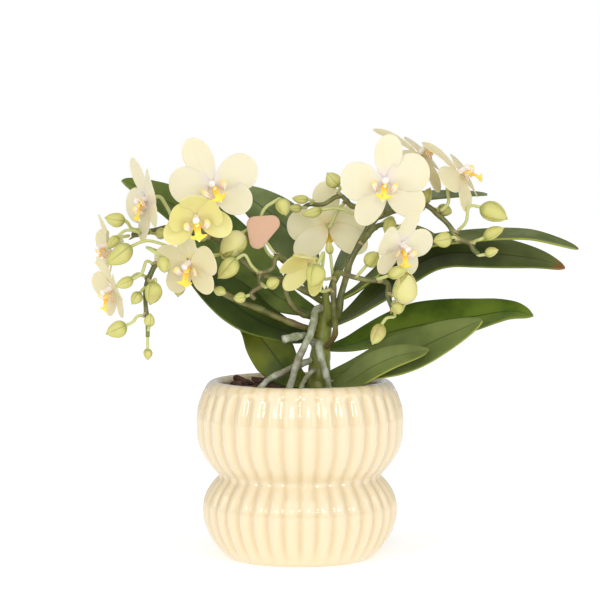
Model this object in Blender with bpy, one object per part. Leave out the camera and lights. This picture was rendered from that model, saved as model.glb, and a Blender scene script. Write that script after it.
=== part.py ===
"""Potted moth orchid: a small many-flowered plant in its nursery pot, inside a fluted cover pot.

A standalone Blender 4.5 script in metres, +Z up. The origin is the middle of the cover pot's flat
underside, and the front of the plant looks along -Y. Layout points are in millimetres, and MM turns
them into metres where a mesh is made.
"""

import math

import bmesh
import bpy
from mathutils import Vector

MM = 0.001
GAP = 0.3

# Cover pot: two bulges over each other, with a sharp waist between them.
POT_HEIGHT = 107.0
POT_RIM_RADIUS = 55.2
POT_MOUTH_RADIUS = 49.0
POT_WALL = 4.5
POT_FLOOR = 9.0
UPPER_BULGE_RADIUS = 62.7
UPPER_BULGE_HEIGHT = 78.5
WAIST_RADIUS = 48.9
WAIST_HEIGHT = 49.6
LOWER_BULGE_RADIUS = 58.9
LOWER_BULGE_HEIGHT = 30.0
FOOT_RADIUS = 44.0
FLUTES = 36
FLUTE_DEPTH = 1.9
RIM_BAND = 4.5

# Nursery pot and what fills it.
NURSERY_RIM_HEIGHT = 101.0
NURSERY_TOP_RADIUS = 45.5
NURSERY_FOOT_RADIUS = 33.0
NURSERY_WALL = 1.0
NURSERY_LIP = 1.4
BARK_HEIGHT = 98.6
BARK_BUMP = 0.7

# Plant.
STEM_POINTS = ((11, 0, 95.5), (12, 0, 119), (14, 0, 140), (16, 1, 164))
STEM_RADIUS_LOW = 7.4
STEM_RADIUS_TOP = 3.6
FLOWER_STALK_RADII = (1.8, 1.25, 1.1, 1.0)
THROAT_RADIUS = 4.2
LIP_RADIUS = 3.4
COLUMN_LENGTH = 8.8
BUD_STALK_RADIUS = 0.95
LEAF_THICKNESS = 1.8
ROUND = 2 * math.pi


# --- materials ---------------------------------------------------------------------------------


def material(name, colour, roughness):
    made = bpy.data.materials.new(name)
    made.use_nodes = True
    shader = made.node_tree.nodes["Principled BSDF"]
    shader.inputs["Base Color"].default_value = (*colour, 1)
    shader.inputs["Roughness"].default_value = roughness
    shader.inputs["Metallic"].default_value = 0
    return made


def clear_scene():
    for old in list(bpy.data.objects):
        bpy.data.objects.remove(old)


# --- curves ------------------------------------------------------------------------------------


def smooth(points, count):
    """count points, evenly spaced along the smooth curve through the given ones."""
    knots = [Vector(point) for point in points]
    knots = [2 * knots[0] - knots[1], *knots, 2 * knots[-1] - knots[-2]]
    fine = []
    for a, b, c, d in zip(knots, knots[1:], knots[2:], knots[3:]):
        for step in range(12):
            t = step / 12
            bend = (2 * a - 5 * b + 4 * c - d) * t * t + (3 * b - a - 3 * c + d) * t * t * t
            fine.append(b + ((c - a) * t + bend) / 2)
    fine.append(knots[-2])
    return [along(fine, i / (count - 1)) for i in range(count)]


def along(points, share):
    """The point at this share, 0 to 1, of the length of a row of points."""
    lengths = [(b - a).length for a, b in zip(points, points[1:])]
    left = share * sum(lengths)
    for (a, b), length in zip(zip(points, points[1:]), lengths):
        if left <= length:
            return a.lerp(b, left / length)
        left -= length
    return points[-1].copy()


def direction(points, i):
    return (points[min(i + 1, len(points) - 1)] - points[max(i - 1, 0)]).normalized()


# --- solids made of rings ----------------------------------------------------------------------


def ringed_solid(name, first, rings, last, look):
    """One closed solid: a point, then rings of equal size bridged to each other, then a point."""
    shape = bmesh.new()
    start = shape.verts.new(first * MM)
    loops = [[shape.verts.new(point * MM) for point in ring] for ring in rings]
    end = shape.verts.new(last * MM)
    sides = len(loops[0])
    for i in range(sides):
        j = (i + 1) % sides
        shape.faces.new((start, loops[0][j], loops[0][i]))
        shape.faces.new((end, loops[-1][i], loops[-1][j]))
        for near, far in zip(loops, loops[1:]):
            shape.faces.new((near[i], near[j], far[j], far[i]))
    bmesh.ops.recalc_face_normals(shape, faces=shape.faces)
    mesh = bpy.data.meshes.new(name)
    shape.to_mesh(mesh)
    shape.free()
    mesh.shade_smooth()
    mesh.materials.append(look)
    made = bpy.data.objects.new(name, mesh)
    bpy.context.scene.collection.objects.link(made)
    return made


def circle(centre, axis, radius, sides, toward=Vector((0, 1, 0))):
    """A ring of points square to the axis, whose first point lies toward the given direction."""
    across = toward - axis * axis.dot(toward)
    if across.length < 0.1:
        across = axis.orthogonal()
    across.normalize()
    side = axis.cross(across)
    turns = [ROUND * i / sides for i in range(sides)]
    return [centre + radius * (math.cos(a) * across + math.sin(a) * side) for a in turns]


def carried_circles(centres, radii, sides, toward=Vector((0, 1, 0))):
    """Rings square to a curve, each turned from the one before by the least turn."""
    axis = direction(centres, 0)
    ring = circle(Vector(), axis, 1, sides, toward)
    rings = []
    for i, (centre, radius) in enumerate(zip(centres, radii)):
        turn = axis.rotation_difference(direction(centres, i))
        axis = direction(centres, i)
        ring = [turn @ point for point in ring]
        rings.append([centre + radius * point for point in ring])
    return rings


class Branch:
    """A round stem along a route: its solid, and the places on its skin where others join it."""

    def __init__(self, name, points, thick, thin, look, sides=6, count=None):
        self.points = smooth(points, count or 2 * len(points))
        self.thick = thick
        self.thin = thin
        steps = len(self.points) - 1
        radii = [self.radius(i / steps) for i in range(1, steps)]
        rings = carried_circles(self.points[1:-1], radii, sides)
        ringed_solid(name, self.points[0], rings, self.points[-1], look)

    def radius(self, share):
        return self.thick + (self.thin - self.thick) * share

    def seat(self, share, toward):
        """(point, direction) just off the skin at this share of the route, on the side toward a point."""
        centre = along(self.points, share)
        run = along(self.points, min(share + 0.02, 1)) - along(self.points, max(share - 0.02, 0))
        run.normalize()
        if share >= 1:
            return centre + run * GAP, run
        out = toward - centre
        out -= run * out.dot(run)
        out.normalize()
        return centre + out * (self.radius(share) + GAP), out


# --- pots --------------------------------------------------------------------------------------


def bulge(height):
    """Outer radius of the cover pot over the flutes: four stretches of a power curve."""
    if height < LOWER_BULGE_HEIGHT:
        far = (LOWER_BULGE_HEIGHT - height) / LOWER_BULGE_HEIGHT
        return LOWER_BULGE_RADIUS - (LOWER_BULGE_RADIUS - FOOT_RADIUS) * far**2
    if height < WAIST_HEIGHT:
        far = (height - LOWER_BULGE_HEIGHT) / (WAIST_HEIGHT - LOWER_BULGE_HEIGHT)
        return LOWER_BULGE_RADIUS - (LOWER_BULGE_RADIUS - WAIST_RADIUS) * far**1.95
    if height < UPPER_BULGE_HEIGHT:
        far = (UPPER_BULGE_HEIGHT - height) / (UPPER_BULGE_HEIGHT - WAIST_HEIGHT)
        return UPPER_BULGE_RADIUS - (UPPER_BULGE_RADIUS - WAIST_RADIUS) * far**1.82
    far = (height - UPPER_BULGE_HEIGHT) / (POT_HEIGHT - UPPER_BULGE_HEIGHT)
    return UPPER_BULGE_RADIUS - (UPPER_BULGE_RADIUS - POT_RIM_RADIUS) * far**2.2


def level_ring(height, radii):
    """A flat ring about the pot's axis: the radii are used in turn, from a flute's groove on."""
    count = 2 * FLUTES
    turns = [ROUND * i / count - math.pi / 2 for i in range(count)]
    picked = [radii[i % len(radii)] for i in range(count)]
    return [Vector((r * math.cos(a), r * math.sin(a), height)) for r, a in zip(picked, turns)]


def cover_pot(look):
    flute_top = POT_HEIGHT - RIM_BAND
    lower = [WAIST_HEIGHT * i / 6 for i in range(6)]
    upper = [WAIST_HEIGHT + (flute_top - WAIST_HEIGHT) * i / 8 for i in range(8)]
    rings = []
    for height in lower + upper:
        fade = min(1, (flute_top + 2 - height) / 8, 0.4 + height / 12)
        rings.append(level_ring(height, (bulge(height) - FLUTE_DEPTH * fade, bulge(height))))
    rings.append(level_ring(flute_top, (bulge(flute_top),)))
    rings.append(level_ring(POT_HEIGHT - 1.2, (POT_RIM_RADIUS,)))
    rings.append(level_ring(POT_HEIGHT, (POT_RIM_RADIUS - 2.2,)))
    rings.append(level_ring(POT_HEIGHT - 0.5, (POT_MOUTH_RADIUS + 1,)))
    rings.append(level_ring(POT_HEIGHT - 3, (POT_MOUTH_RADIUS,)))
    for height in (UPPER_BULGE_HEIGHT, WAIST_HEIGHT, LOWER_BULGE_HEIGHT, POT_FLOOR):
        rings.append(level_ring(height, (bulge(height) - FLUTE_DEPTH - POT_WALL + 1.5,)))
    middle = Vector((0, 0, 0))
    ringed_solid("ceramic_pot", middle, rings, middle + Vector((0, 0, POT_FLOOR)), look)


def nursery_radius(height):
    low = POT_FLOOR + GAP
    share = (height - low) / (NURSERY_RIM_HEIGHT - low)
    return NURSERY_FOOT_RADIUS + (NURSERY_TOP_RADIUS - NURSERY_FOOT_RADIUS) * share


def flat_circle(height, radius, sides=28):
    return circle(Vector((0, 0, height)), Vector((0, 0, 1)), radius, sides)


def nursery_pot(look):
    low = POT_FLOOR + GAP
    lip = NURSERY_RIM_HEIGHT - 5
    rings = [
        flat_circle(low, NURSERY_FOOT_RADIUS),
        flat_circle(lip, nursery_radius(lip)),
        flat_circle(lip, nursery_radius(lip) + NURSERY_LIP),
        flat_circle(NURSERY_RIM_HEIGHT, NURSERY_TOP_RADIUS + NURSERY_LIP),
        flat_circle(NURSERY_RIM_HEIGHT, NURSERY_TOP_RADIUS - NURSERY_WALL),
        flat_circle(low + NURSERY_WALL, NURSERY_FOOT_RADIUS - NURSERY_WALL),
    ]
    bottom = Vector((0, 0, low))
    ringed_solid("nursery_pot", bottom, rings, bottom + Vector((0, 0, NURSERY_WALL)), look)


def bark_mix(look):
    """The filling: chips whose top is uneven, with a pit that the plant's stem stands in."""
    low = POT_FLOOR + NURSERY_WALL + 2 * GAP
    inset = NURSERY_WALL + GAP
    rings = [
        flat_circle(low, nursery_radius(low) - inset),
        flat_circle(BARK_HEIGHT - 2, nursery_radius(BARK_HEIGHT - 2) - inset),
    ]
    for radius, turns in ((38, 5), (27, 4), (14, 3)):
        ring = flat_circle(BARK_HEIGHT, radius)
        for i, point in enumerate(ring):
            point.z += BARK_BUMP * math.sin(turns * ROUND * i / len(ring) + radius)
        rings.append(ring)
    chips = ringed_solid(
        "bark_mix", Vector((0, 0, low)), rings, Vector((0, 0, BARK_HEIGHT)), look
    )
    foot = Vector(STEM_POINTS[0])
    bpy.ops.mesh.primitive_cylinder_add(
        vertices=16,
        radius=(STEM_RADIUS_LOW + 2 * GAP) * MM,
        depth=20 * MM,
        location=(foot + Vector((0, 0, 10 - 2 * GAP))) * MM,
    )
    cutter = bpy.context.object
    cutter.name = "stem_pit_cutter"
    cutter.hide_render = True
    cutter.display_type = "WIRE"
    pit = chips.modifiers.new("stem_pit", "BOOLEAN")
    pit.operation = "DIFFERENCE"
    pit.object = cutter


# --- leaves ------------------------------------------------------------------------------------


def leaf_outline(share):
    """Half width over the leaf's greatest half width: a narrow neck, then broad, then a blunt point."""
    blade = math.sin(math.pi * share**0.85) ** 0.6 if 0 < share < 1 else 0
    neck = min(1, 0.6 + 0.9 * share)
    return blade * neck


def leaf(name, stem, share, points, width, fold, faces, look, rings=10):
    """A strap leaf on a midrib curve. fold is the lift of its halves in degrees, at its neck and at
    its tip, and faces are the directions that its upper side looks in, there and there."""
    start, _ = stem.seat(share, Vector(points[0]))
    rib = smooth([start, *points], rings + 2)
    loops = []
    for i in range(1, rings + 1):
        t = i / (rings + 1)
        run = direction(rib, i)
        up = Vector(faces[0]).lerp(Vector(faces[1]), t)
        up = (up - run * up.dot(run)).normalized()
        side = run.cross(up)
        half = width / 2 * leaf_outline(t)
        lift = math.radians(fold[0] + (fold[1] - fold[0]) * t)
        thick = LEAF_THICKNESS * (0.55 + 0.45 * (1 - t))

        def skin(u, level):
            rise = half * math.sin(lift) * abs(u) ** 1.4 + level * thick / 2 * (1 - 0.5 * abs(u))
            return rib[i] + side * (u * half * math.cos(lift)) + up * rise

        loops.append(
            [skin(-1, 0), skin(-0.5, 1), skin(0, 1), skin(0.5, 1)]
            + [skin(1, 0), skin(0.5, -1), skin(0, -1), skin(-0.5, -1)]
        )
    ringed_solid(name, rib[0], loops, rib[-1], look)


# --- flowers and buds --------------------------------------------------------------------------

# One half of the flower's rim, from its top: (angle in degrees, share of the half span).
# The top sepal is the longest, then come a broad petal and a lower sepal, with notches between.
RIM_HALF = (
    (0, 1.1), (20, 0.95), (38, 0.46), (51, 0.86), (75, 1.0), (99, 0.86),
    (113, 0.46), (126, 0.86), (144, 1.02), (163, 0.8), (180, 0.3),
)  # fmt: skip


def stalk(branch, share, end, run, count, via=()):
    """Centres along the stalk from a branch to end, where it arrives along run."""
    start, out = branch.seat(share, via[0] if via else end)
    reach = (end - start).length
    bends = via or (start + out * reach * 0.3, end - run * reach * 0.3)
    return smooth([start, *bends, end], count)


def flower(name, branch, share, centre, facing, top, look, span, cup, via=()):
    """Five tepals round a column and lip, on a stalk. cup is how far the tips bend to the front."""
    centre = Vector(centre)
    front = Vector(facing).normalized()
    up = Vector(top)
    up = (up - front * up.dot(front)).normalized()
    right = up.cross(front)
    half = span / 2
    angles = [math.radians(angle) for angle, _ in RIM_HALF]
    reach = [share_out * half for _, share_out in RIM_HALF]
    angles += [-angle for angle in reversed(angles[1:-1])]
    reach += list(reversed(reach[1:-1]))
    centres = stalk(branch, share, centre - front * 1.5, front, 5, via)
    rings = carried_circles(centres[:0:-1], FLOWER_STALK_RADII, len(angles), up)[::-1]

    def add_ring(distances, out, lean):
        ring = []
        for angle, r in zip(angles, distances):
            away = up * math.cos(angle) + right * math.sin(angle)
            ring.append(centre + away * r + front * (out + cup * (r / half) ** 2) - up * lean)
        rings.append(ring)

    add_ring([3.5] * len(angles), -1.0, 0)
    add_ring(reach, -0.5, 0)
    add_ring([0.97 * r for r in reach], 0.5, 0)
    add_ring([THROAT_RADIUS] * len(angles), 1.0, 1)
    add_ring([LIP_RADIUS] * len(angles), 5.0, 2.5)
    tip = centre + front * COLUMN_LENGTH - up * 4
    ringed_solid(name, centres[0], rings, tip, look)


def bud(name, branch, share, base, tip, width, look, via=()):
    """A pointed bud on its stalk, which may pass through the places in via."""
    base = Vector(base)
    tip = Vector(tip)
    run = (tip - base).normalized()
    length = (tip - base).length
    start, *centres = stalk(branch, share, base, run, 4 + 2 * len(via), via)
    radii = [BUD_STALK_RADIUS + 0.1 * i / len(centres) for i in range(len(centres))]
    for part, girth in ((0.12, 0.62), (0.36, 1.0), (0.66, 0.86), (0.88, 0.42)):
        centres.append(base + run * length * part)
        radii.append(width / 2 * girth)
    ringed_solid(name, start, carried_circles(centres, radii, 6), tip, look)


# --- the whole thing ---------------------------------------------------------------------------

clear_scene()

glaze = material("butter_glaze", (0.91, 0.77, 0.49), 0.22)
black_plastic = material("black_plastic", (0.02, 0.02, 0.02), 0.5)
bark = material("pine_bark", (0.12, 0.05, 0.03), 0.9)
stem_green = material("stem_green", (0.23, 0.26, 0.04), 0.5)
leaf_green = material("leaf_green", (0.07, 0.12, 0.02), 0.35)
root_silver = material("root_silver", (0.34, 0.35, 0.24), 0.7)
spike_green = material("spike_green", (0.20, 0.19, 0.05), 0.5)
petal_cream = material("petal_cream", (0.90, 0.83, 0.55), 0.5)
bud_green = material("bud_green", (0.62, 0.58, 0.16), 0.45)
card_peach = material("card_peach", (0.78, 0.52, 0.35), 0.7)

cover_pot(glaze)
nursery_pot(black_plastic)
bark_mix(bark)
stem = Branch(
    "stem", STEM_POINTS, STEM_RADIUS_LOW, STEM_RADIUS_TOP, stem_green, sides=12, count=12
)

# Leaves: name, place up the stem, midrib points, then width, folds and facings.
LEAVES = (
    ("leaf_left_top", 0.76,
     [(-12, 12, 155), (-35, 15, 177), (-55, 16, 197), (-81, 10, 214), (-107, 0, 227)],
     36, (16, 10), [(-0.3, -0.75, 0.55), (0.1, -0.7, 0.7)]),
    ("leaf_left_back", 0.88,
     [(4, 14, 177), (-7, 26, 196), (-25, 36, 211), (-37, 42, 218), (-46, 45, 222)],
     30, (20, 12), [(-0.6, -0.7, 0.3), (-0.2, -0.6, 0.75)]),
    ("leaf_left_low", 0.52,
     [(-7, -3, 135), (-30, -11, 146), (-51, -10, 162), (-62, -7, 172), (-70, -2, 181)],
     40, (14, 10), [(0.1, -0.55, 0.8), (0.4, -0.55, 0.7)]),
    ("leaf_left_bottom", 0.12,
     [(-8, 6, 112), (-20, 9, 127), (-29, 11, 137), (-38, 11, 142)],
     28, (14, 8), [(-0.5, -0.8, 0.3), (-0.3, -0.8, 0.5)]),
    ("leaf_right_front", 0.10,
     [(29, -18, 107), (43, -27, 117), (58, -33, 124), (76, -37, 128)],
     20, (24, 8), [(-0.35, -0.7, 0.6), (-0.3, -0.8, 0.5)]),
    ("leaf_right_bottom", 0.22,
     [(32, -8, 113), (50, -16, 119), (68, -21, 126), (85, -25, 134.5), (108, -28, 145)],
     31, (18, 6), [(-0.25, -0.7, 0.65), (-0.3, -0.75, 0.6)]),
    ("leaf_right_low", 0.42,
     [(36, 4, 129), (60, 7, 136), (85, 7, 141), (109, 4, 145), (126, 0, 148), (140, -5, 146)],
     38, (16, 10), [(-0.3, -0.55, 0.78), (0.1, -0.6, 0.8)]),
    ("leaf_right_high", 0.84,
     [(36, 0, 161), (51, 2, 173), (66, 3, 183), (87, 3, 189), (135, 0, 193), (167, -4, 186)],
     32, (20, 10), [(-0.6, -0.1, 0.8), (0.1, -0.25, 0.96)]),
    ("leaf_right_middle", 0.62,
     [(36, 5, 149), (51, 9, 160), (67, 12, 172), (88, 14, 182), (136, 12, 180), (160, 7, 174)],
     36, (16, 10), [(-0.5, -0.4, 0.8), (0.2, -0.65, 0.72)]),
    ("leaf_right_back", 0.90,
     [(27, 13, 177), (38, 20, 193), (51, 25, 207), (64, 28, 213), (95, 28, 217), (114, 24, 218)],
     28, (20, 12), [(-0.8, -0.2, 0.5), (0, -0.15, 1)]),
)  # fmt: skip
for name, share, points, width, fold, faces in LEAVES:
    leaf(name, stem, share, points, width, fold, faces, leaf_green)

# Aerial roots: name, place up the stem, route down to the bark, radii.
ROOTS = (
    ("root_front", 0.80, [(9, -11, 149), (7, -13, 138), (0, -15, 123), (-4, -15, 111), (-7, -13, 100.4)],
     2.3, 2.1),
    ("root_stub", 0.49, [(3, -9.2, 134), (-3, -14.2, 134), (-10, -20, 133)], 2.4, 2.4),
    ("root_right", 0.50, [(11, -10, 129), (13, -12, 120), (16, -12, 110), (18, -11, 100.4)], 2.3, 1.9),
    ("root_left", 0.34, [(0, -8, 117), (-9, -10, 113), (-19, -11, 108), (-26, -11, 100.4)], 2.2, 1.8),
    ("root_short", 0.26, [(6, -12, 112), (2, -14, 107), (0, -14, 100.4)], 1.6, 1.4),
)  # fmt: skip
for name, share, points, thick, thin in ROOTS:
    start, _ = stem.seat(share, Vector(points[0]))
    Branch(name, [start, *points], thick, thin, root_silver, count=9)

# Flower spikes that rise from the stem: name, place up the stem, route, radii.
SPIKES = (
    ("spike_left_high", 0.86,
     [(4, -13, 161), (-6, -17, 166), (-18, -20, 170), (-28, -23, 175), (-37, -25, 183), (-47, -25, 191),
      (-57, -24, 196), (-68, -22, 199), (-77, -21, 200), (-86, -21, 198), (-94, -22, 196), (-100, -23, 195)],
     1.9, 1.4),
    ("spike_left_low", 0.60,
     [(-1, -14, 141), (-15, -21, 147), (-25, -26, 152), (-35, -30, 156), (-46, -33, 162), (-57, -35, 169),
      (-67, -36, 176), (-75, -38, 186), (-80, -40, 189), (-82, -43, 183), (-86, -46, 176), (-90, -47, 165),
      (-90, -47, 154), (-89, -48, 144), (-89, -48, 136)],
     1.9, 1.2),
    ("spike_centre", 0.70,
     [(-1, -14, 149), (-7, -18, 157), (-9, -21, 165), (-8, -24, 172), (-7, -26, 178), (-14, -30, 183),
      (-16, -33, 176), (-24, -35, 172), (-23, -37, 166), (-29, -38, 162), (-26, -39, 158)],
     1.8, 1.3),
    ("spike_right", 0.66,
     [(23, -10, 147), (24, -13, 157), (27, -14, 168), (30, -14, 179), (37, -13, 192), (43, -12, 203),
      (50, -12, 207), (58, -13, 210), (65, -15, 213), (74, -17, 213), (81, -19, 208), (89, -21, 200),
      (93, -23, 193), (100, -25, 191), (103, -27, 186), (106, -28, 184)],
     2.0, 1.4),
    ("spike_front", 0.46,
     [(21, -12, 136), (20, -20, 152), (20, -24, 166), (22, -28, 173), (31, -32, 171), (41, -34, 169),
      (51, -36, 168), (52, -38, 159), (55, -39, 152)],
     1.6, 1.5),
)  # fmt: skip
spikes = {}
for name, share, points, thick, thin in SPIKES:
    start, _ = stem.seat(share, Vector(points[0]))
    spikes[name] = Branch(name, [start, *points], thick, thin, spike_green)

# Side branches, each on the right spike.
SIDE_BRANCHES = (
    ("branch_top", 0.53,
     [(41, -7, 210), (31, -7, 212), (24, -7, 218), (14, -8, 213), (6, -9, 213), (2, -10, 211)]),
    ("branch_inner", 0.38,
     [(43, -18, 198), (48, -18, 201), (57, -21, 200), (67, -23, 200), (74, -24, 198), (79, -25, 195)]),
)  # fmt: skip
for name, share, points in SIDE_BRANCHES:
    start, _ = spikes["spike_right"].seat(share, Vector(points[0]))
    spikes[name] = Branch(name, [start, *points], 1.6, 1.3, spike_green)

# Open flowers: name, spike, place along it, then middle, facing, top, span and cup.
FLOWERS = (
    ("flower_crown_left", "spike_left_high", 0.72,
     (-51.5, -36, 226), (-0.05, -0.98, 0.1), (-0.47, 0, 0.88), 49, 4),
    ("flower_front_left", "spike_left_high", 0.64,
     (-60, -66, 208), (0.05, -0.96, -0.2), (-0.15, 0, 0.98), 36, 9),
    ("flower_low_left", "spike_left_high", 0.55,
     (-64, -51, 181), (-0.45, -0.82, -0.3), (-0.08, -0.2, 0.95), 40, 5),
    ("flower_side_left_high", "spike_left_high", 0.81,
     (-90, -34, 217), (-0.9, -0.4, -0.1), (0.1, 0.45, 0.88), 47, 4),
    ("flower_side_left_middle", "spike_left_high", 1.0,
     (-114, -9, 189), (-0.95, -0.25, -0.15), (0, 0, 1), 34, 4),
    ("flower_side_left_low", "spike_left_low", 0.79,
     (-110, -38, 165), (-0.85, -0.42, -0.3), (0, 0, 1), 37, 4),
    ("flower_crown_right", "spike_right", 0.52,
     (50, -34, 228), (0.02, -0.99, 0.1), (0.14, 0, 0.99), 50, 3),
    ("flower_back_centre", "branch_top", 0.46,
     (17, 2, 200), (-0.1, 0.97, 0.1), (-0.1, 0, 0.99), 49, 0),
    ("flower_opening_centre", "spike_front", 0.42,
     (6, -42, 179), (-0.35, -0.85, -0.4), (0, -0.4, 0.9), 26, 12),
    ("flower_front_right", "spike_right", 0.66,
     (59, -46, 191), (0.6, -0.72, -0.35), (0.1, 0, 0.99), 40, 3),
    ("flower_side_right_inner", "spike_right", 0.59,
     (71, -3, 243), (0.6, -0.3, 0.74), (-0.93, 0, 0.4), 51, -4),
    ("flower_side_right_outer", "spike_right", 0.76,
     (94, -16, 232), (0.72, -0.38, 0.58), (-0.72, 0, 0.68), 46, -4),
)  # fmt: skip
# Places that a stalk passes through, where it can't take the straight way.
STALK_ROUTES = {
    "flower_front_left": (Vector((-57, -37, 193)), Vector((-59.5, -52, 198))),
    "bud_left_1": (Vector((-99, -25, 199)), Vector((-101, -28, 202))),
    "bud_left_7": (Vector((-89, -47, 189)), Vector((-86, -58, 188))),
}
for name, spike, share, centre, facing, top, span, cup in FLOWERS:
    route = STALK_ROUTES.get(name, ())
    flower(name, spikes[spike], share, centre, facing, top, petal_cream, span, cup, route)

# Buds: name, spike, place along it, base, tip, width.
BUDS = (
    ("bud_left_1", "spike_left_high", 0.92, (-103, -30, 204), (-115, -34, 206), 8.6),
    ("bud_left_2", "spike_left_high", 0.96, (-107, -35, 195), (-113, -39, 188), 6.3),
    ("bud_left_3", "spike_left_low", 0.66, (-98, -53, 190), (-112, -61, 180), 11.2),
    ("bud_left_4", "spike_left_low", 0.74, (-97, -55, 171), (-107, -60, 167), 6.8),
    ("bud_left_5", "spike_left_low", 0.80, (-84, -54, 169), (-87, -59, 156), 10.3),
    ("bud_left_6", "spike_left_low", 0.92, (-101, -52, 144), (-113, -56, 139), 9.9),
    ("bud_left_7", "spike_left_low", 0.69, (-80, -58, 184), (-78, -65, 175), 7.7),
    ("bud_left_8", "spike_left_low", 0.57, (-71, -32, 169), (-72, -34, 159), 7.7),
    ("bud_centre_1", "spike_centre", 0.80, (-37, -44, 182), (-48, -50, 171), 10.8),
    ("bud_centre_2", "spike_centre", 0.57, (-34, -33, 197), (-44, -39, 183), 13.1),
    ("bud_centre_3", "spike_centre", 0.87, (-19, -42, 166), (-12, -46, 170), 7.2),
    ("bud_centre_5", "spike_front", 0.50, (10.5, -65, 180), (6.5, -70, 167), 11.7),
    ("bud_top_1", "branch_top", 0.56, (23, -10, 224), (16, -13, 232), 9.2),
    ("bud_top_2", "branch_top", 0.30, (13, -17, 210), (1, -21, 207), 6.1),
    ("bud_right_1", "spike_right", 0.86, (106, -30, 212), (122, -36, 205), 11.9),
    ("bud_right_2", "spike_right", 0.95, (108, -32, 194), (120, -36, 200), 7.2),
    ("bud_right_3", "spike_right", 0.89, (89, -30, 194), (78, -35, 192), 9.2),
    ("bud_right_5", "spike_front", 0.80, (51, -57, 173), (62, -62, 177), 7.2),
    ("bud_right_6", "spike_front", 0.91, (61, -46, 156), (61, -50, 174), 13.5),
    ("bud_right_7", "spike_front", 1.0, (48, -44, 144), (42, -48, 132), 8.8),
)  # fmt: skip
for name, spike, share, base, tip, width in BUDS:
    bud(name, spikes[spike], share, base, tip, width, bud_green, STALK_ROUTES.get(name, ()))


# --- tag ---------------------------------------------------------------------------------------

# A rounded three-cornered card, with an open clip on its back that snaps onto a bud's stalk.
TAG_MIDDLE = Vector((-22, -36, 198))
TAG_CORNERS = ((5.4, 4.6), (-4.6, 3.9), (-3.0, -5.6))
TAG_CORNER_RADIUS = 4.8
TAG_THICKNESS = 1.2
TAG_EDGE = 0.3
CLIP_RADIUS = 1.7
CLIP_WIRE = 0.45
CLIP_MIDDLE = TAG_MIDDLE + Vector((-1.5, TAG_THICKNESS / 2 + CLIP_RADIUS + 0.2, 3))


def tag_ring(radius, y):
    """The tag's outline: an arc round each corner."""
    points = []
    for x, z in TAG_CORNERS:
        for step in range(-3, 4):
            angle = math.atan2(z, x) + math.radians(20) * step
            out = Vector((math.cos(angle), 0, math.sin(angle)))
            points.append(TAG_MIDDLE + Vector((x, y, z)) + radius * out)
    return points


def plant_tag(look):
    half = TAG_THICKNESS / 2
    inner = TAG_CORNER_RADIUS - TAG_EDGE
    rings = [
        tag_ring(inner, -half),
        tag_ring(TAG_CORNER_RADIUS, TAG_EDGE - half),
        tag_ring(TAG_CORNER_RADIUS, half - TAG_EDGE),
        tag_ring(inner, half),
    ]
    across = Vector((0, half, 0))
    card = ringed_solid("plant_tag", TAG_MIDDLE - across, rings, TAG_MIDDLE + across, look)
    turns = [math.radians(60 - 300 * i / 12) for i in range(13)]
    wire = [CLIP_MIDDLE + CLIP_RADIUS * Vector((math.cos(a), math.sin(a), 0)) for a in turns]
    rings = carried_circles(wire[1:-1], [CLIP_WIRE] * 11, 6)
    clip = ringed_solid("clip_to_join", wire[0], rings, wire[-1], look)
    clip.hide_render = True
    clip.display_type = "WIRE"
    join = card.modifiers.new("clip", "BOOLEAN")
    join.operation = "UNION"
    join.object = clip


plant_tag(card_peach)
tag_stalk = [Vector((-20, -31.5, 192)), CLIP_MIDDLE, Vector((-21, -33, 211))]
bud("bud_centre_4", spikes["spike_centre"], 0.63, (-12, -34, 217), (-8, -38, 207), 8.6, bud_green,
    tag_stalk)  # fmt: skip
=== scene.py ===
"""Looks of a potted moth orchid: cream-yellow flowers over a fluted butter-yellow cover pot."""

import math
import random

import bmesh
import bpy
import numpy as np
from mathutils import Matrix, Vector


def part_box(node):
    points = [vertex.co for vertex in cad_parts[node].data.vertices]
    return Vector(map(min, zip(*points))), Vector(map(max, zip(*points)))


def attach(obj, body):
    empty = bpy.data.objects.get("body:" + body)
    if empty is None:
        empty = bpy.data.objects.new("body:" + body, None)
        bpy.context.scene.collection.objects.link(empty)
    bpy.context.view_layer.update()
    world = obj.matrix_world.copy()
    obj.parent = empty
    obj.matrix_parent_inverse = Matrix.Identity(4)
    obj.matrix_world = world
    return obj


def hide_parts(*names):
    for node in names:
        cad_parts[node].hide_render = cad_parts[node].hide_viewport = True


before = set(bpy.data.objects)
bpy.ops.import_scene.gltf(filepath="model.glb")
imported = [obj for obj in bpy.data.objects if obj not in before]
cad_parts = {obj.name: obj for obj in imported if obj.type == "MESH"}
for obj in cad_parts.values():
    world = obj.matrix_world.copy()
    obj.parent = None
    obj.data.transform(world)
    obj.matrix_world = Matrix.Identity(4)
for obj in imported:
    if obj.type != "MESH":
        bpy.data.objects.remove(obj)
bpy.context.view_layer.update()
MM = 0.001

# --- Studio ------------------------------------------------------------------------------------
# A camera a little above the plant, a seamless pale floor and soft light from all round. Three tall
# soft boxes high in front give the streaks on the glaze, and a broad one overhead the soft shade.

scene = bpy.context.scene
camera = bpy.data.objects.new("camera", bpy.data.cameras.new("camera"))
camera.location = (0, -1.6, 0.262)
camera.rotation_euler = (math.radians(90 - 3.82), 0, 0)
camera.data.lens = 160
camera.data.sensor_width = 36
scene.collection.objects.link(camera)
scene.camera = camera
scene.view_settings.view_transform = "Standard"


def soft_box(name, place, aim, size, watts):
    lamp = bpy.data.lights.new(name, "AREA")
    lamp.shape = "RECTANGLE"
    lamp.size, lamp.size_y = size
    lamp.energy = watts
    box = bpy.data.objects.new(name, lamp)
    box.location = place
    box.rotation_euler = (Vector(aim) - Vector(place)).to_track_quat("-Z", "Y").to_euler()
    scene.collection.objects.link(box)


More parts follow.
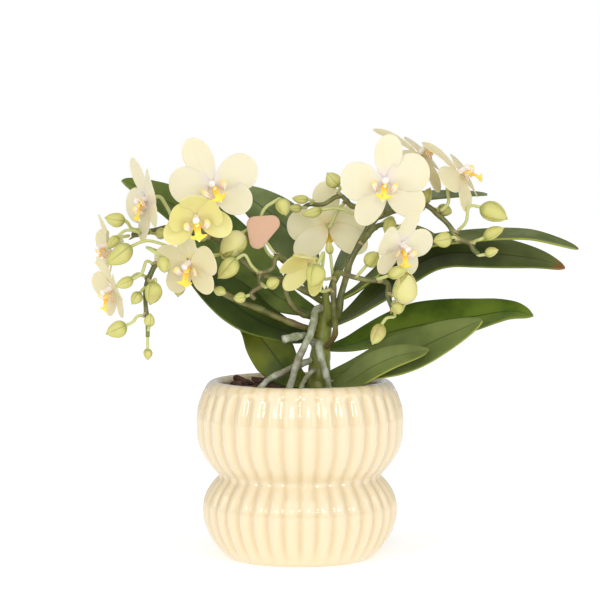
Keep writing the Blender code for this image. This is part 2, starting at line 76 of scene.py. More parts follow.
for side in (-1, 0, 1):
    soft_box(f"front_box_{side}", (side * 0.55, -1.5, 0.66), (0, 0, 0.1), (0.05, 0.5), 2.3)
for side in (-1, 1):
    soft_box(f"side_box_{side}", (side * 1.5, -0.7, 0.7), (0, 0, 0.12), (0.9, 1.2), 4)
sky = bpy.data.lights.new("overhead", "SUN")
sky.energy = 0.85
sky.angle = math.radians(90)
overhead = bpy.data.objects.new("overhead", sky)
overhead.rotation_euler = (math.radians(42), 0, 0)
scene.collection.objects.link(overhead)

# The room is white where the camera looks past the plant, and gives a softer light than that.
ROOM_LIGHT = 0.55
world = bpy.data.worlds.new("white_room")
world.use_nodes = True
room = world.node_tree.nodes["Background"]
seen = world.node_tree.nodes.new("ShaderNodeLightPath")
strength = world.node_tree.nodes.new("ShaderNodeMapRange")
strength.inputs["To Min"].default_value = ROOM_LIGHT
strength.inputs["To Max"].default_value = 1.0
world.node_tree.links.new(seen.outputs["Is Camera Ray"], strength.inputs["Value"])
world.node_tree.links.new(strength.outputs["Result"], room.inputs["Strength"])
room.inputs["Color"].default_value = (1, 1, 1, 1)
scene.world = world


class Value:
    """What comes out of a node. Arithmetic on it adds Math nodes."""

    def __init__(self, finish, socket):
        self.finish = finish
        self.socket = socket

    def maths(self, operation, *terms):
        return self.finish.node("Math", {"operation": operation}, dict(enumerate(terms)))

    def __add__(self, other):
        return self.maths("ADD", self, other)

    def __sub__(self, other):
        return self.maths("SUBTRACT", self, other)

    def __rsub__(self, other):
        return self.maths("SUBTRACT", other, self)

    def __mul__(self, other):
        return self.maths("MULTIPLY", self, other)

    def __truediv__(self, other):
        return self.maths("DIVIDE", self, other)

    def __pow__(self, other):
        return self.maths("POWER", self, other)

    def __gt__(self, other):
        return self.maths("GREATER_THAN", self, other)

    def __abs__(self):
        return self.maths("ABSOLUTE", self)

    __radd__ = __add__
    __rmul__ = __mul__

    def ramp(self, low, high):
        """0 up to low, 1 from high on, and a smooth rise between."""
        return self.finish.node(
            "MapRange",
            {"interpolation_type": "SMOOTHSTEP", "clamp": True},
            {"Value": self, "From Min": low, "From Max": high},
        )


class Finish:
    """A material. Fixed numbers sit on the shader's own sockets, and what varies is linked."""

    def __init__(self, name, **fixed):
        self.material = bpy.data.materials.new(name)
        self.material.use_nodes = True
        self.tree = self.material.node_tree
        self.shader = self.tree.nodes["Principled BSDF"]
        for socket, value in fixed.items():
            self.shader.inputs[socket.replace("_", " ")].default_value = value

    def node(self, kind, settings=None, sockets=None, output=0):
        made = self.tree.nodes.new("ShaderNode" + kind)
        for setting, value in (settings or {}).items():
            setattr(made, setting, value)
        for socket, value in (sockets or {}).items():
            if isinstance(value, Value):
                self.tree.links.new(value.socket, made.inputs[socket])
            elif isinstance(value, tuple) and made.inputs[socket].type == "RGBA":
                made.inputs[socket].default_value = (*value, 1)
            else:
                made.inputs[socket].default_value = value
        return Value(self, made.outputs[output])

    def place(self, output="Object"):
        return self.node("TexCoord", output=output)

    def across_and_along(self):
        """The piece's own map: 0 to 1 across it, and 0 to 1 along it."""
        parts = self.node("SeparateXYZ", sockets={0: self.place("UV")}).socket.node
        return Value(self, parts.outputs[0]), Value(self, parts.outputs[1])

    def stretched(self, scale, output="Object"):
        return self.node("Mapping", sockets={"Vector": self.place(output), "Scale": scale})

    def noise(self, scale, detail=3, vector=None, rough=0.5):
        sockets = {"Scale": scale, "Detail": detail, "Roughness": rough}
        sockets["Vector"] = vector or self.place()
        return self.node("TexNoise", sockets=sockets)

    def blend(self, factor, first, second, kind="MIX"):
        settings = {"data_type": "RGBA", "blend_type": kind}
        return self.node("Mix", settings, {0: factor, 6: first, 7: second}, output=2)

    def set(self, socket, value):
        self.tree.links.new(value.socket, self.shader.inputs[socket])

    def bump(self, height, strength, distance):
        sockets = {"Height": height, "Strength": strength, "Distance": distance}
        self.set("Normal", self.node("Bump", sockets=sockets))


floor_finish = Finish("pale_floor", Roughness=0.6, Emission_Color=(1, 1, 1, 1), Emission_Strength=0.34)
cloud = floor_finish.noise(2.0)
floor_finish.set("Base Color", floor_finish.blend(cloud, (0.93, 0.93, 0.93), (0.95, 0.95, 0.95)))
bpy.ops.object.select_all(action="DESELECT")
bpy.ops.mesh.primitive_plane_add(size=12, location=(0, 0, 0))
floor = bpy.context.object
floor.name = "floor"
floor.data.materials.append(floor_finish.material)

# --- Cover pot ---------------------------------------------------------------------------------
# A slip-cast earthenware pot of two bulges, with 36 flutes that fade out below its smooth rim. It
# is glazed inside and out in glossy butter yellow; its grooves are darker, partly thicker glaze and partly painted
# shade.


def sheet(name, across, along, place, closed=False):
    """A grid whose points lie where place(u, v) puts them, in mm. u runs across and v along it,
    both 0 to 1, and du x dv looks outwards. Closed sheets have their meeting edges joined."""
    bpy.ops.object.select_all(action="DESELECT")
    bpy.ops.mesh.primitive_grid_add(x_subdivisions=across, y_subdivisions=along, size=1)
    piece = bpy.context.object
    piece.name = name
    flat = np.empty(len(piece.data.vertices) * 3)
    piece.data.vertices.foreach_get("co", flat)
    u, v = flat.reshape(-1, 3).T[:2] + 0.5
    piece.data.vertices.foreach_set("co", (np.asarray(place(u, v)) * MM).ravel())
    bpy.ops.object.mode_set(mode="EDIT")
    bpy.ops.mesh.select_all(action="SELECT")
    bpy.ops.mesh.remove_doubles(threshold=0.00001)
    if closed:
        bpy.ops.mesh.normals_make_consistent(inside=False)
    bpy.ops.object.mode_set(mode="OBJECT")
    bpy.ops.object.shade_smooth()
    return piece


def modify(piece, kind, **settings):
    """Adds a modifier and applies it."""
    made = piece.modifiers.new(kind, kind)
    for setting, value in settings.items():
        setattr(made, setting, value)
    bpy.ops.object.select_all(action="DESELECT")
    piece.select_set(True)
    bpy.context.view_layer.objects.active = piece
    bpy.ops.object.modifier_apply(modifier=made.name)


def place_in_pot(piece, slot, *nodes):
    """The piece stands for these nodes of the frame, which it hides. The slot is not used."""
    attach(piece, "root")
    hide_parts(*nodes)


def through(knots, share):
    """The smooth curve through evenly spaced knots, read at shares 0 to 1 of its run."""
    knots = np.asarray(knots, float)
    ends = 2 * knots[:1] - knots[1:2], 2 * knots[-1:] - knots[-2:-1]
    knots = np.concatenate([ends[0], knots, ends[1]])
    at = np.clip(share, 0, 1) * (len(knots) - 3)
    i = np.minimum(at.astype(int), len(knots) - 4)
    t = (at - i).reshape(-1, *[1] * (knots.ndim - 1))
    a, b, c, d = (knots[i + k] for k in range(4))
    return b + ((c - a) * t + (2 * a - 5 * b + 4 * c - d) * t**2 + (3 * b - a - 3 * c + d) * t**3) / 2


FLUTES = 36
FLUTE_DEPTH = 1.9
pot_low, pot_high = (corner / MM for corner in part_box("ceramic_pot"))
POT_TOP = pot_high.z
BULGE = (pot_high.x - pot_low.x) / 2

# The outline down the outside, over the flutes: (height, radius), from the rim's crest.
OUTSIDE = (
    (POT_TOP, 52.6), (POT_TOP - 0.7, 54.6), (103.5, 56.9), (98, 59.6), (91, 61.8), (84, 62.6),
    (78.5, BULGE), (72, 62.1), (66, 60.3), (60, 57.2), (55, 53.5), (51.5, 50.4), (49.7, 49.0),
    (48.2, 50.0), (45, 52.9), (40, 56.3), (35, 58.3), (30, 58.9), (24, 58.4), (18, 56.6),
    (12, 53.8), (7, 50.3), (3, 46.4), (0.7, 43.8), (0, 42.3),
)  # fmt: skip
INSIDE = ((POT_TOP, 51.2), (POT_TOP - 0.8, 50.0), (103, 49.2), (92, 50.5), (78, 55), (62, 51), (50, 44.5),
          (38, 49), (26, 50), (14, 46), (9.5, 40), (9, 30), (9, 0))  # fmt: skip


def pot_surface(u, v):
    outline = np.array([(0, 0), (0, 20), (0, 38), *reversed(OUTSIDE), *INSIDE])
    runs = np.concatenate([[0], np.cumsum(np.hypot(*np.diff(outline, axis=0).T))])
    even = np.linspace(0, runs[-1], 140)
    knots = np.column_stack([np.interp(even, runs, outline[:, k]) for k in (0, 1)])
    height, radius = through(knots, v).T
    turn = 2 * math.pi * u - math.pi / 2
    groove = (1.095 - np.sqrt(np.sin(FLUTES * math.pi * u) ** 2 + 0.2)) / 0.648
    outer = v < np.interp(runs[2 + len(OUTSIDE)], even, np.linspace(0, 1, len(even)))
    fade = np.clip((POT_TOP - 3.6 - height) / 5.5, 0, 1)
    fade = fade * fade * (3 - 2 * fade) * np.clip(height / 9, 0, 1) ** 0.6
    fade *= 1 - 0.45 * np.exp(-(((height - 49.4) / 2.2) ** 2))
    radius = radius - FLUTE_DEPTH * groove * fade * outer
    return np.column_stack([radius * np.cos(turn), radius * np.sin(turn), height])


pot = sheet("cover_pot", FLUTES * 12, 190, pot_surface, closed=True)
glaze = Finish("butter_glaze", Coat_Weight=1.0, Coat_Roughness=0.03, IOR=1.5)
drift = glaze.noise(9, detail=2)
butter = glaze.blend(drift, (0.75, 0.63, 0.41), (0.77, 0.65, 0.435))
u, v = glaze.across_and_along()
# Painted shade down the grooves of the outer wall: a darker, warmer tan that also stands for glaze lying thicker
# there.
groove_shade_and_pooling = (1 - u.maths("PINGPONG", u * FLUTES, 0.5).ramp(0.0, 0.3)) * (v.ramp(0.14, 0.2) - v.ramp(0.6, 0.62))
butter = glaze.blend(groove_shade_and_pooling * 0.5, butter, (0.62, 0.44, 0.21))
speck = glaze.noise(900, detail=1).ramp(0.66, 0.72)
glaze.set("Base Color", glaze.blend(speck * 0.2, butter, (0.56, 0.42, 0.2)))
glaze.set("Roughness", 0.05 + 0.05 * glaze.noise(60))
glaze.bump(glaze.noise(120, detail=2), 0.015, 0.0004)
pot.data.materials.append(glaze.material)
place_in_pot(pot, "glaze", "ceramic_pot")

# --- Nursery pot -------------------------------------------------------------------------------
# The thin black plastic pot that the plant was grown in. It is vacuum-formed, with a rolled lip
# that shows inside the cover pot's mouth, and it stands loose on the cover pot's floor.

pot_in_low, pot_in_high = (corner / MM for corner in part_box("nursery_pot"))
LIP_RADIUS = pot_in_high.x
LIP_TOP = pot_in_high.z
FOOT_RADIUS = 33.0


def nursery_surface(u, v):
    outline = (
        (pot_in_low.z, 0), (pot_in_low.z, FOOT_RADIUS - 2), (pot_in_low.z + 1.5, FOOT_RADIUS),
        (50, 38.8), (LIP_TOP - 5.5, 44.6), (LIP_TOP - 5, LIP_RADIUS - 0.3), (LIP_TOP - 0.6, LIP_RADIUS),
        (LIP_TOP, LIP_RADIUS - 0.7), (LIP_TOP - 0.3, LIP_RADIUS - 2.1), (LIP_TOP - 4, LIP_RADIUS - 2.6),
        (50, 37.8), (pot_in_low.z + 1.2, FOOT_RADIUS - 1.2), (pot_in_low.z + 1.0, 0),
    )  # fmt: skip
    runs = np.concatenate([[0], np.cumsum(np.hypot(*np.diff(outline, axis=0).T))])
    height, radius = (np.interp(v * runs[-1], runs, np.array(outline)[:, k]) for k in (0, 1))
    turn = 2 * math.pi * u
    return np.column_stack([radius * np.cos(turn), radius * np.sin(turn), height])


nursery = sheet("nursery_pot_shell", 96, 150, nursery_surface, closed=True)
plastic = Finish("black_plastic", Roughness=0.42)
scuff = plastic.noise(55, detail=4)
plastic.set("Base Color", plastic.blend(scuff, (0.012, 0.012, 0.013), (0.035, 0.033, 0.03)))
plastic.set("Roughness", 0.3 + 0.35 * scuff)
plastic.bump(plastic.noise(400, detail=2), 0.15, 0.0003)
nursery.data.materials.append(plastic.material)
place_in_pot(nursery, "nursery_plastic", "nursery_pot")

# --- Stem --------------------------------------------------------------------------------------
# The plant's short upright stem, wrapped in the sheaths of its leaves. It is fleshy and green,
# with fine yellower streaks along it.


def rings_of(node):
    """A CAD piece is a point, then rings of points, then a point. This gives that row, thin end
    last where it has one: each entry is an array of the ring's points in mm, in order round it."""
    shape = bmesh.new()
    shape.from_mesh(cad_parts[node].data)
    bmesh.ops.remove_doubles(shape, verts=shape.verts, dist=0.000001)
    near = {v.index: [e.other_vert(v).index for e in v.link_edges] for v in index(shape)}
    points = np.array([v.co for v in shape.verts]) / MM
    shape.free()
    for start in near:
        levels = [[start]]
        seen = {start}
        while levels[-1]:
            found = {n for v in levels[-1] for n in near[v]} - seen
            seen |= found
            levels.append(sorted(found))
        sizes = [len(level) for level in levels[:-1]]
        if sizes[-1] == 1 and len(set(sizes[1:-1])) == 1:
            return [points[in_order(level, near)] for level in levels[:-1]]
    raise ValueError(f"{node} isn't made of rings")


def index(shape):
    shape.verts.index_update()
    return shape.verts


def in_order(level, near):
    """The points of one ring in the order in which they follow each other."""
    order = [level[0]]
    while len(order) < len(level):
        order.append(next(n for n in near[order[-1]] if n in level and n not in order))
    return order



def centreline(node):
    """The middles of a CAD piece's rings, ends included, and the rings' mean radii."""
    rings = rings_of(node)
    middles = np.array([ring.mean(0) for ring in rings])
    radii = [np.linalg.norm(ring - middle, axis=1).mean() for ring, middle in zip(rings, middles)]
    return middles, np.array(radii)


def tube(name, around, along, middles, girth):
    """A closed round piece along a smooth curve. girth(v, turn, run) is its radius in mm, and it
    comes to a point at both ends."""
    v_line = np.linspace(0, 1, along + 1)
    line = through(middles, v_line)
    run = np.gradient(line, axis=0)
    run /= np.linalg.norm(run, axis=1)[:, None]
    across = [np.cross(run[0], (0.3, 1, 0.2))]
    for heading in run[1:]:
        across.append(across[-1] - heading * (across[-1] @ heading))
    across = np.array(across) / np.linalg.norm(across, axis=1)[:, None]
    other = np.cross(run, across)

    def skin(u, v):
        k = np.rint(v * along).astype(int)
        turn = 2 * math.pi * u
        radius = girth(v, turn) * (k > 0) * (k < along)
        return (
            line[k]
            + across[k] * (radius * np.cos(turn))[:, None]
            + other[k] * (radius * np.sin(turn))[:, None]
        )

    return sheet(name, around, along, skin, closed=True)


stem_middles, stem_radii = centreline("stem")
stem_radii[0], stem_radii[-1] = stem_radii[1], stem_radii[-2]


def stem_girth(v, turn):
    sheath = 0.35 * np.abs(np.sin(9 * math.pi * v + turn))
    return (through(stem_radii, v) + sheath) * np.clip((1 - v) * 4, 0, 1) ** 0.7


stem = tube("short_stem", 40, 120, stem_middles, stem_girth)
fleshy = Finish("stem_green", Roughness=0.42, Subsurface_Weight=0.05)
patches = fleshy.noise(90, detail=4)
grain = fleshy.node("TexNoise", sockets={"Scale": 300, "Vector": fleshy.stretched((1, 1, 0.15))})
green = fleshy.blend(patches, (0.10, 0.13, 0.012), (0.25, 0.28, 0.035))
fleshy.set("Base Color", fleshy.blend((grain - 0.45) * 1.4, green, (0.33, 0.33, 0.07)))
fleshy.bump(grain, 0.3, 0.0004)
stem.data.materials.append(fleshy.material)
place_in_pot(stem, "stem", "stem")

# --- Leaves ------------------------------------------------------------------------------------
# Nine strap leaves in two rows, each folded along its midrib at the neck and flatter at its tip.
# They are thick and leathery: glossy dark green above, paler and duller below, with a thin pale
# margin and a sunken midrib, painted darker as shade in its crease. Old ones are dry and brown at the tip.


def leaf_outline(share):
    """Half width over the greatest half width: a narrow neck, then broad, then a blunt point."""
    blade = np.sin(math.pi * np.clip(share, 0, 1) ** 0.85) ** 0.6
    return blade * np.minimum(1, 0.6 + 0.9 * share)


def leaf_frame(node):
    """The rib's curve, and along it the leaf's side and upper directions and the lift of its
    halves, all read from the CAD leaf's rings. The last is its greatest half width."""
    rings = rings_of(node)
    foot = np.array(centreline("stem")[0])
    if min(np.linalg.norm(foot - rings[-1][0], axis=1)) < min(np.linalg.norm(foot - rings[0][0], axis=1)):
        rings = rings[::-1]
    foot = foot[np.linalg.norm(foot - rings[0][0], axis=1).argmin()]
    ribs, sides, ups, lifts, halves = [], [], [], [], []
    for k, ring in enumerate(rings[1:-1], start=1):
        spread = np.linalg.norm(ring[:, None] - ring[None, :], axis=2)
        first = int(np.unravel_index(spread.argmax(), spread.shape)[0])
        ring = np.roll(ring, -first, axis=0)
        left, right = ring[0], ring[4]
        rib = (ring[2] + ring[6]) / 2
        rise = (left + right) / 2 - rib
        side = right - left
        if sides and side @ sides[-1] < 0:
            side = -side
        half = np.hypot(np.linalg.norm(side) / 2, np.linalg.norm(rise))
        lifts.append(math.asin(np.linalg.norm(rise) / half))
        halves.append(half / leaf_outline(k / (len(rings) - 1)))
        ribs.append(rib)
        sides.append(side / np.linalg.norm(side))
        ups.append(rise / np.linalg.norm(rise))
    if np.cross(sides[4], ribs[5] - ribs[4]) @ ups[4] < 0:
        sides = [-side for side in sides]
    ribs = [(foot + rings[0][0]) / 2, *ribs, rings[-1][0]]
    doubled = ([a[0], *a, a[-1]] for a in (sides, ups, lifts))
    return (np.array(ribs), *map(np.array, doubled), float(np.median(halves)))


def leaf_blade(name, node, thick, wave, seed):
    ribs, sides, ups, lifts, half = leaf_frame(node)
    shake = random.Random(seed)
    phase, beat = shake.uniform(0, 6), shake.uniform(2.2, 3.4)

    def skin(u, v):
        c = 2 * u - 1
        width = half * leaf_outline(v)
        lift = through(lifts, v)
        side, up = through(sides, v), through(ups, v)
        bow = np.abs(c) ** 1.4 * np.sin(lift) - 0.05 * np.abs(c) ** 4
        ripple = wave * c * c * np.sin(beat * math.pi * v + phase + c) * np.clip(3 * v, 0, 1)
        out = c * width * np.cos(lift)
        return through(ribs, v) + side * out[:, None] + up * (width * bow + ripple)[:, None]

    blade = sheet(name, 24, 64, skin)
    modify(blade, "SOLIDIFY", thickness=thick * MM, offset=0, material_offset=1, material_offset_rim=0)
    modify(blade, "SUBSURF", levels=1, render_levels=1)
    bpy.ops.object.shade_smooth()
    return blade


def leaf_finishes(name, dark, light, edge, below, tip=(0.2, 0.09, 0.02), dry=0.0):
    """The upper and the under side of one leaf. dry is how far its tip has turned brown."""
    above = Finish(name + "_above", Roughness=0.4, Specular_IOR_Level=0.2, Coat_Weight=0.03, Coat_Roughness=0.25)
    u, v = above.across_and_along()
    veins = above.node("TexNoise", sockets={"Scale": 1, "Detail": 2, "Vector": above.stretched((46, 1.6, 1), "UV")})
    cloud = above.noise(38, detail=3)
    body = above.blend(cloud.ramp(0.3, 0.7), dark, light)
    body = above.blend((veins - 0.35) * 0.5, body, light)
    # The midrib is painted darker on the upper side: painted shade in its sunken crease.
    rib = 1 - abs(u - 0.5).ramp(0.006, 0.035)
    body = above.blend(rib * 0.7, body, tuple(0.55 * x for x in dark))
    rim = abs(u - 0.5).ramp(0.486, 0.497)
    body = above.blend(rim * 0.6, body, edge)
    if dry:
        body = above.blend((v + 0.03 * above.noise(120)).ramp(1.02 - dry, 1.03 - dry / 2), body, tip)
    above.set("Base Color", body)
    above.set("Roughness", 0.36 + 0.2 * above.noise(70, detail=4))
    above.bump(veins * 0.6 + above.noise(700, detail=1) * 0.4, 0.25, 0.0003)
    under = Finish(name + "_below", Roughness=0.55, Specular_IOR_Level=0.3)
    u, v = under.across_and_along()
    streak = under.node("TexNoise", sockets={"Scale": 1, "Vector": under.stretched((30, 2, 1), "UV")})
    body = under.blend(streak, below, tuple(1.35 * x for x in below))
    body = under.blend(1 - abs(u - 0.5).ramp(0.01, 0.05), body, tuple(1.5 * x for x in below))
    if dry:
        body = under.blend(v.ramp(1.02 - dry, 1.03 - dry / 2), body, tip)
    under.set("Base Color", body)
    under.bump(streak, 0.2, 0.0003)
    return above.material, under.material


DEEP, DULL = (0.014, 0.028, 0.002), (0.045, 0.075, 0.006)
PALE_EDGE, YELLOW_EDGE, UNDER = (0.17, 0.19, 0.03), (0.36, 0.37, 0.03), (0.115, 0.15, 0.04)

# Each leaf: dark and light tone, margin, under side, ripple in mm, dry tip.
LEAF_LOOKS = {
    "leaf_left_top": ((0.035, 0.065, 0.005), (0.13, 0.18, 0.03), PALE_EDGE, UNDER, 0.5, 0.0),
    # This leaf's pale, greyish light tone is partly its own green, partly painted sheen: the sky's reflection on
    # its gloss.
    "leaf_left_back": ((0.06, 0.095, 0.015), (0.17, 0.21, 0.08), PALE_EDGE, UNDER, 0.3, 0.0),
    "leaf_left_low": (DEEP, DULL, PALE_EDGE, UNDER, 0.6, 0.0),
    "leaf_left_bottom": ((0.040, 0.075, 0.003), (0.19, 0.22, 0.012), PALE_EDGE, UNDER, 0.5, 0.0),
    "leaf_right_front": ((0.10, 0.13, 0.03), (0.17, 0.21, 0.06), YELLOW_EDGE, UNDER, 0.4, 0.0),
    "leaf_right_bottom": ((0.085, 0.12, 0.025), (0.15, 0.19, 0.05), YELLOW_EDGE, UNDER, 0.5, 0.0),
    "leaf_right_low": ((0.035, 0.075, 0.004), (0.13, 0.19, 0.018), PALE_EDGE, UNDER, 0.5, 0.0),
    "leaf_right_high": ((0.07, 0.10, 0.015), (0.17, 0.20, 0.07), YELLOW_EDGE, UNDER, 0.4, 0.02),
    "leaf_right_middle": ((0.05, 0.075, 0.01), (0.12, 0.15, 0.035), PALE_EDGE, UNDER, 0.4, 0.07),
    "leaf_right_back": ((0.08, 0.11, 0.03), (0.20, 0.24, 0.12), PALE_EDGE, UNDER, 0.3, 0.0),
}
for seed, (node, (dark, light, edge, below, wave, dry)) in enumerate(LEAF_LOOKS.items()):
    blade = leaf_blade(node + "_blade", node, 1.5, wave, seed)
    for look in leaf_finishes(node, dark, light, edge, below, dry=dry):
        blade.data.materials.append(look)
    place_in_pot(blade, "leaf", node)

# --- Roots -------------------------------------------------------------------------------------
# Aerial roots as thick as a pencil lead's casing, that leave the stem and dive into the bark. Their
# spongy skin is silvery grey-green and mottled, and the oldest are brown on top.

ROOT_ENDS = ("root_front", "root_stub", "root_right", "root_left", "root_short")
velamen = Finish("root_silver", Roughness=0.62)
mottle = velamen.noise(170, detail=4)
skin_tone = velamen.blend(mottle.ramp(0.35, 0.65), (0.23, 0.25, 0.13), (0.52, 0.54, 0.42))
brown = velamen.noise(42, detail=3).ramp(0.56, 0.68)
velamen.set("Base Color", velamen.blend(brown * 0.75, skin_tone, (0.16, 0.10, 0.05)))
velamen.bump(mottle, 0.5, 0.0005)
for seed, node in enumerate(ROOT_ENDS):
    middles, radii = centreline(node)
    if radii[1] < radii[-2]:
        middles, radii = middles[::-1], radii[::-1]
    radii[0], radii[-1] = radii[1], radii[-2]

    def root_girth(v, turn):
        lumps = 1 + 0.07 * np.sin(17 * v + 2 * turn + seed) + 0.05 * np.sin(41 * v - turn + 2 * seed)
        return through(radii, v) * lumps

    root = tube(node + "_skin", 20, 80, middles, root_girth)
    root.data.materials.append(velamen.material)
    place_in_pot(root, "root", node)

# --- Bark --------------------------------------------------------------------------------------
# The orchid mix: flat chips of pine bark that lie on each other at all angles, dark red-brown and
# dry at the edges, with a few white crumbs of perlite between them.

bark_low, bark_high = (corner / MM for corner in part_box("bark_mix"))
BARK_RADIUS = 43.6


def bark_surface(u, v):
    radius = np.where(v < 0.3, v / 0.3, 1) * np.where(v > 0.4, (1 - v) / 0.6, 1) * BARK_RADIUS
    radius = np.where(v < 0.4, radius * 0.76, radius)
    height = np.where(v < 0.4, bark_low.z + (bark_high.z - 5 - bark_low.z) * np.clip((v - 0.3) / 0.1, 0, 1), 0)
    turn = 2 * math.pi * u
    bumps = 1.2 * np.sin(9 * turn + 14 * v) * np.sin(31 * v) - 2
    height = np.where(v < 0.4, height, bark_high.z + bumps * (radius > 0))
    return np.column_stack([radius * np.cos(turn), radius * np.sin(turn), height])


filling = sheet("bark_filling", 72, 60, bark_surface, closed=True)
chip_look = Finish("pine_bark", Roughness=0.85)
flake = chip_look.noise(260, detail=5, rough=0.7)
tone = chip_look.noise(75, detail=1).ramp(0.35, 0.65)
dark_bark = chip_look.blend(tone, (0.028, 0.010, 0.006), (0.11, 0.045, 0.025))
chip_look.set("Base Color", chip_look.blend(flake.ramp(0.5, 0.75) * 0.6, dark_bark, (0.22, 0.12, 0.07)))
chip_look.bump(flake, 0.8, 0.0008)
filling.data.materials.append(chip_look.material)
place_in_pot(filling, "bark", "bark_mix")

crumb_look = Finish("perlite", Roughness=0.9)
crumb_look.set("Base Color", crumb_look.blend(crumb_look.noise(400), (0.75, 0.74, 0.70), (0.95, 0.94, 0.9)))
crumb_look.bump(crumb_look.noise(500), 0.5, 0.0004)


def scattered(name, look, count, seed, size, flat):
    """Count rough little blocks that lie on the bark, as one piece."""
    pick = random.Random(seed)
    bpy.ops.object.select_all(action="DESELECT")
    made = []
    while len(made) < count:
        spot = Vector((pick.uniform(-41, 41), pick.uniform(-41, 41), 0))
        if spot.length > 41 or (spot - Vector((11, 0, 0))).length < 9:
            continue
        spot.z = bark_high.z - 1.6 + pick.uniform(-0.8, 1.1) + max(0, 0.5 * spot.y - spot.x) * pick.uniform(0, 0.2)
        bpy.ops.mesh.primitive_cube_add(size=1, location=spot * MM)
        block = bpy.context.object
        width = pick.uniform(0.7, 1.4) * size
        block.scale = Vector((width, width * pick.uniform(0.5, 0.9), width * flat)) * MM
        block.rotation_euler = [pick.uniform(-0.5, 0.5), pick.uniform(-0.5, 0.5), pick.uniform(0, 6.28)]
        bpy.ops.object.transform_apply(location=True, rotation=True, scale=True)
        for corner in block.data.vertices:
            corner.co += Vector([pick.uniform(-0.16, 0.16) * width * MM for _ in range(3)])
        modify(block, "BEVEL", width=0.12 * width * MM, segments=1, limit_method="NONE")
        made.append(block)
    for block in made:
        block.select_set(True)
    bpy.context.view_layer.objects.active = made[0]
    bpy.ops.object.join()
    whole = bpy.context.object
    whole.name = name
    bpy.ops.object.transform_apply(location=True, rotation=True, scale=True)
    whole.data.materials.clear()
    whole.data.materials.append(look.material)
    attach(whole, "root")
    return whole


scattered("bark_chips", chip_look, 200, 3, 8.5, 0.38)
scattered("perlite_crumbs", crumb_look, 22, 8, 2.4, 0.8)

# --- Spikes ------------------------------------------------------------------------------------
# The flower spikes: thin round stalks that zigzag from node to node. Each node is a slight swelling
# with a dry three-cornered scale under the stalk that leaves there. They are brown-green and firm.

SPIKE_NODES = ("spike_left_high", "spike_left_low", "spike_centre", "spike_right", "spike_front",
               "branch_top", "branch_inner")  # fmt: skip
FLOWER_NODES = [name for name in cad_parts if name.startswith("flower_")]
BUD_NODES = [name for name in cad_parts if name.startswith("bud_")]
wiry = Finish("spike_green", Roughness=0.38, Coat_Weight=0.2)
stain = wiry.noise(110, detail=4)
spike_tone = wiry.blend(stain.ramp(0.35, 0.7), (0.085, 0.095, 0.014), (0.20, 0.20, 0.05))
wiry.set("Base Color", wiry.blend(wiry.noise(45).ramp(0.5, 0.66) * 0.8, spike_tone, (0.13, 0.075, 0.03)))
wiry.bump(stain, 0.25, 0.0003)
dry_scale = Finish("dry_scale", Roughness=0.7)
dry_scale.set("Base Color", dry_scale.blend(dry_scale.noise(300), (0.34, 0.24, 0.10), (0.52, 0.42, 0.22)))
dry_scale.bump(dry_scale.noise(600), 0.3, 0.0002)

spike_lines = {}
for node in SPIKE_NODES:
    middles, radii = centreline(node)
    if radii[1] < radii[-2]:
        middles, radii = middles[::-1], radii[::-1]
    radii[0], radii[-1] = radii[1], radii[-2]
    spike_lines[node] = through(middles, np.linspace(0, 1, 400)), through(radii, np.linspace(0, 1, 400))

seats = {name: [] for name in SPIKE_NODES}
for node in FLOWER_NODES + BUD_NODES + ["branch_top", "branch_inner"]:
    rings = rings_of(node)
    ends = rings[0][0], rings[-1][0]
    best = min(
        (np.linalg.norm(line - end, axis=1).min(), name, int(np.linalg.norm(line - end, axis=1).argmin()), k)
        for name, (line, _) in spike_lines.items()
        for k, end in enumerate(ends)
        if name != node
    )
    seats[best[1]].append((best[2] / 399, ends[best[3]]))

for node, (line, radii) in spike_lines.items():
    joints = [share for share, _ in seats[node]] + [0.12, 0.25, 0.38]

    def spike_girth(v, turn):
        swell = sum(np.exp(-(((v - joint) * len(line) / 9) ** 2)) for joint in joints)
        return np.interp(v, np.linspace(0, 1, 400), radii) * (1 + 0.22 * np.minimum(swell, 1))

    spike = tube(node + "_stalk", 14, 200, line, spike_girth)
    spike.data.materials.append(wiry.material)
    place_in_pot(spike, "spike", node)

scales = []
for node, (line, radii) in spike_lines.items():
    for number, (share, seat) in enumerate(seats[node]):
        k = int(share * 399)
        run = line[min(k + 6, 399)] - line[max(k - 6, 0)]
        run /= np.linalg.norm(run)
        out = seat - line[k]
        out = out - run * (out @ run)
        out /= np.linalg.norm(out)
        side = np.cross(run, out)

        def scale_skin(u, v):
            turn = (u - 0.5) * 2.4 * (1 - v) ** 0.7
            radius = radii[k] * 1.12 + 0.9 * v
            away = out * np.cos(turn)[:, None] + side * np.sin(turn)[:, None]
            return line[k] + away * radius[:, None] + run * (3.4 * v - 1.6)[:, None]

        scale = sheet(f"scale_{node}_{number}", 6, 5, scale_skin)
        modify(scale, "SOLIDIFY", thickness=0.25 * MM, offset=1)
        scale.data.materials.append(dry_scale.material)
        scales.append(scale)


def join(name, pieces):
    """One piece of these, each with its own material."""
    bpy.ops.object.select_all(action="DESELECT")
    for piece in pieces:
        piece.select_set(True)
    bpy.context.view_layer.objects.active = pieces[0]
    bpy.ops.object.join()
    whole = bpy.context.object
    whole.name = name
    return whole


node_scales = join("spike_scales", scales)
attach(node_scales, "root")

# --- Flowers -----------------------------------------------------------------------------------
# Twelve open flowers, waxy and thin. Three sepals stand behind two broad petals, and in the middle
# a short white column stands over a lip of three lobes: two that rise on its sides, and a yellow
# one in front with an anchor's shape. Each hangs on a pale green stalk.


